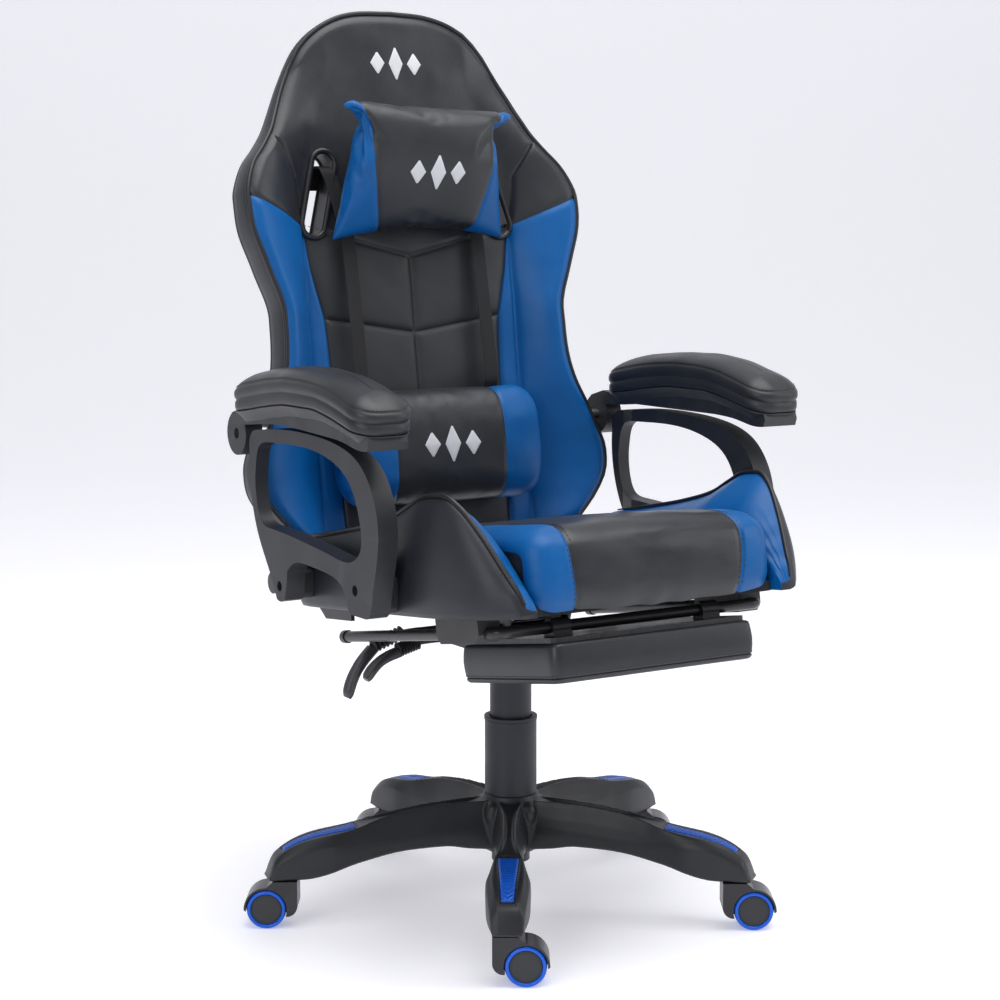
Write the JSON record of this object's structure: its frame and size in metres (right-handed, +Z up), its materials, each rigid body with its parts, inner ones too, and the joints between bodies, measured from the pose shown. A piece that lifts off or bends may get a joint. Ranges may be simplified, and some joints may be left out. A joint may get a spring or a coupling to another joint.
{
  "type": "gaming chair",
  "caption": "Racing-style swivel chair with winged backrest, head and lumbar pillows, linked armrests, sliding footrest and star base on twin-wheel casters.",
  "frame": {"origin": "on the floor, on the axis of the gas column", "axes": "+Z up, the seat faces -Y, +X is to the viewer's right when facing the chair"},
  "size_m": [0.6787, 0.6767, 1.1717],
  "materials": {
    "nylon": "satin moulded black nylon",
    "blue_insert": "blue moulded grip insert with a raised chevron",
    "caster_wheel": "black disc with a blue polyurethane tyre",
    "steel": "zinc-plated steel",
    "black_steel": "black powder-coated steel",
    "column_plastic": "smooth black column cover",
    "board": "bare plywood",
    "black_leather": "black synthetic leather",
    "two_tone_leather": "black and blue synthetic leather panels",
    "webbing": "black woven webbing",
    "arm_plastic": "fine-grained black plastic"
  },
  "bodies": {
    "base": {"star_base": "nylon", "leg_pads": "blue_insert", "gas_outer_tube": "black_steel", "thrust_bearing": "steel", "column_cover_lower": "column_plastic"},
    "caster_1": {"caster_1_hood": "nylon", "caster_1_pins": "steel"},
    "caster_1_wheel_a": {"caster_1_wheel_a": "caster_wheel"},
    "caster_1_wheel_b": {"caster_1_wheel_b": "caster_wheel"},
    "caster_2": {"caster_2_hood": "nylon", "caster_2_pins": "steel"},
    "caster_2_wheel_a": {"caster_2_wheel_a": "caster_wheel"},
    "caster_2_wheel_b": {"caster_2_wheel_b": "caster_wheel"},
    "caster_3": {"caster_3_hood": "nylon", "caster_3_pins": "steel"},
    "caster_3_wheel_a": {"caster_3_wheel_a": "caster_wheel"},
    "caster_3_wheel_b": {"caster_3_wheel_b": "caster_wheel"},
    "caster_4": {"caster_4_hood": "nylon", "caster_4_pins": "steel"},
    "caster_4_wheel_a": {"caster_4_wheel_a": "caster_wheel"},
    "caster_4_wheel_b": {"caster_4_wheel_b": "caster_wheel"},
    "caster_5": {"caster_5_hood": "nylon", "caster_5_pins": "steel"},
    "caster_5_wheel_a": {"caster_5_wheel_a": "caster_wheel"},
    "caster_5_wheel_b": {"caster_5_wheel_b": "caster_wheel"},
    "gas_rod": {"gas_piston_rod": "steel"},
    "lift": {"gas_lift_tube": "steel", "column_cover_upper": "column_plastic", "mechanism_housing": "black_steel", "tilt_pin": "black_steel", "tilt_spring": "steel"},
    "gas_button": {"gas_release_button": "steel"},
    "tension_knob": {"tension_knob": "arm_plastic"},
    "height_lever": {"height_lever": "arm_plastic"},
    "tilt_lever": {"tilt_lever": "arm_plastic"},
    "seat": {"seat_plate": "black_steel", "seat_board": "board", "seat_cushion": "two_tone_leather", "seat_wings": "two_tone_leather", "arm_bolts": "steel", "arm_frame_left": "arm_plastic", "arm_frame_right": "arm_plastic", "recliner_plates": "black_steel", "recliner_covers": "arm_plastic", "footrest_guides": "arm_plastic"},
    "recline_lever": {"recline_lever": "black_steel"},
    "footrest": {"footrest_rails": "black_steel"},
    "footrest_flap": {"footrest_board": "black_steel", "footrest_pad": "black_leather"},
    "backrest": {"back_frame": "black_steel", "back_cushion": "two_tone_leather", "recliner_arms": "black_steel", "arm_pivot_bolts": "steel", "head_pillow": "two_tone_leather", "lumbar_pillow": "two_tone_leather", "pillow_straps": "webbing"},
    "arm_rest_left": {"arm_rest_base_left": "arm_plastic", "arm_cushion_left": "black_leather"},
    "arm_rest_right": {"arm_rest_base_right": "arm_plastic", "arm_cushion_right": "black_leather"}
  },
  "joints": [
    {"name": "caster_1_swivel", "type": "hinge", "parent": "base", "child": "caster_1", "pos_m": [-0.16372, -0.25258, 0.062], "axis": [0, 0, 1], "continuous": true},
    {"name": "caster_1_wheel_a_spin", "type": "hinge", "parent": "caster_1", "child": "caster_1_wheel_a", "pos_m": [-0.14548, -0.26398, 0.025], "axis": [-0.5299, -0.848, 0], "continuous": true},
    {"name": "caster_1_wheel_b_spin", "type": "hinge", "parent": "caster_1", "child": "caster_1_wheel_b", "pos_m": [-0.14548, -0.26398, 0.025], "axis": [-0.5299, -0.848, 0], "continuous": true},
    {"name": "caster_2_swivel", "type": "hinge", "parent": "base", "child": "caster_2", "pos_m": [0.18963, -0.23376, 0.062], "axis": [0, 0, 1], "continuous": true},
    {"name": "caster_2_wheel_a_spin", "type": "hinge", "parent": "caster_2", "child": "caster_2_wheel_a", "pos_m": [0.20786, -0.24515, 0.025], "axis": [-0.5299, -0.848, 0], "continuous": true},
    {"name": "caster_2_wheel_b_spin", "type": "hinge", "parent": "caster_2", "child": "caster_2_wheel_b", "pos_m": [0.20786, -0.24515, 0.025], "axis": [-0.5299, -0.848, 0], "continuous": true},
    {"name": "caster_3_swivel", "type": "hinge", "parent": "base", "child": "caster_3", "pos_m": [0.28091, 0.10811, 0.062], "axis": [0, 0, 1], "continuous": true},
    {"name": "caster_3_wheel_a_spin", "type": "hinge", "parent": "caster_3", "child": "caster_3_wheel_a", "pos_m": [0.29915, 0.09672, 0.025], "axis": [-0.5299, -0.848, 0], "continuous": true},
    {"name": "caster_3_wheel_b_spin", "type": "hinge", "parent": "caster_3", "child": "caster_3_wheel_b", "pos_m": [0.29915, 0.09672, 0.025], "axis": [-0.5299, -0.848, 0], "continuous": true},
    {"name": "caster_4_swivel", "type": "hinge", "parent": "base", "child": "caster_4", "pos_m": [-0.01602, 0.30057, 0.062], "axis": [0, 0, 1], "continuous": true},
    {"name": "caster_4_wheel_a_spin", "type": "hinge", "parent": "caster_4", "child": "caster_4_wheel_a", "pos_m": [-0.03425, 0.31197, 0.025], "axis": [0.5299, 0.848, 0], "continuous": true},
    {"name": "caster_4_wheel_b_spin", "type": "hinge", "parent": "caster_4", "child": "caster_4_wheel_b", "pos_m": [-0.03425, 0.31197, 0.025], "axis": [0.5299, 0.848, 0], "continuous": true},
    {"name": "caster_5_swivel", "type": "hinge", "parent": "base", "child": "caster_5", "pos_m": [-0.29081, 0.07765, 0.062], "axis": [0, 0, 1], "continuous": true},
    {"name": "caster_5_wheel_a_spin", "type": "hinge", "parent": "caster_5", "child": "caster_5_wheel_a", "pos_m": [-0.30905, 0.08904, 0.025], "axis": [0.5299, 0.848, 0], "continuous": true},
    {"name": "caster_5_wheel_b_spin", "type": "hinge", "parent": "caster_5", "child": "caster_5_wheel_b", "pos_m": [-0.30905, 0.08904, 0.025], "axis": [0.5299, 0.848, 0], "continuous": true},
    {"name": "seat_swivel", "type": "hinge", "parent": "base", "child": "gas_rod", "pos_m": [0, 0, 0.07], "axis": [0, 0, 1], "continuous": true},
    {"name": "seat_height", "type": "slide", "parent": "gas_rod", "child": "lift", "axis": [0, 0, 1], "range_m": [-0.06, 0.008]},
    {"name": "gas_release", "type": "slide", "parent": "lift", "child": "gas_button", "axis": [0, 0, -1], "range_m": [0, 0.003], "stiffness_N_per_m": 3000},
    {"name": "tension_adjust", "type": "hinge", "parent": "lift", "child": "tension_knob", "pos_m": [0, -0.052, 0.32], "axis": [0, 0, 1], "range_deg": [-720, 720]},
    {"name": "height_lever_lift", "type": "hinge", "parent": "lift", "child": "height_lever", "pos_m": [-0.04, 0.106, 0.354], "axis": [0, 1, 0], "range_deg": [0, 4], "stiffness_Nm_per_rad": 30},
    {"name": "tilt_lever_lift", "type": "hinge", "parent": "lift", "child": "tilt_lever", "pos_m": [-0.04, 0.08, 0.344], "axis": [0, 1, 0], "range_deg": [0, 5]},
    {"name": "seat_rock", "type": "hinge", "parent": "lift", "child": "seat", "pos_m": [0, -0.05, 0.378], "axis": [-1, 0, 0], "range_deg": [0, 10], "stiffness_Nm_per_rad": 400, "springref_deg": -17.19},
    {"name": "recline_lever_lift", "type": "hinge", "parent": "seat", "child": "recline_lever", "pos_m": [0, 0.165, 0.425], "axis": [-1, 0, 0], "range_deg": [0, 20], "stiffness_Nm_per_rad": 1, "springref_deg": -11.46},
    {"name": "backrest_recline", "type": "hinge", "parent": "seat", "child": "backrest", "pos_m": [0, 0.165, 0.425], "axis": [-1, 0, 0], "range_deg": [0, 45]},
    {"name": "footrest_slide", "type": "slide", "parent": "seat", "child": "footrest", "axis": [0, -0.9854, 0.1702], "range_m": [0, 0.24]},
    {"name": "footrest_flip", "type": "hinge", "parent": "footrest", "child": "footrest_flap", "pos_m": [0, -0.272, 0.422], "axis": [-1, 0, 0], "range_deg": [0, 180]},
    {"name": "arm_rest_left_pivot", "type": "hinge", "parent": "backrest", "child": "arm_rest_left", "pos_m": [-0.28, 0.197, 0.618], "axis": [-1, 0, 0], "range_deg": [-25, 0]},
    {"name": "arm_rest_right_pivot", "type": "hinge", "parent": "backrest", "child": "arm_rest_right", "pos_m": [0.28, 0.197, 0.618], "axis": [-1, 0, 0], "range_deg": [-25, 0]}
  ],
  "couplings": [
    {"joint": "footrest_flip", "follows": "footrest_slide", "rad_per_m": 13.05},
    {"joint": "arm_rest_left_pivot", "follows": "backrest_recline", "ratio": -0.55},
    {"joint": "arm_rest_right_pivot", "follows": "backrest_recline", "ratio": -0.55},
    {"joint": "gas_release", "follows": "height_lever_lift", "m_per_rad": 0.042}
  ]
}
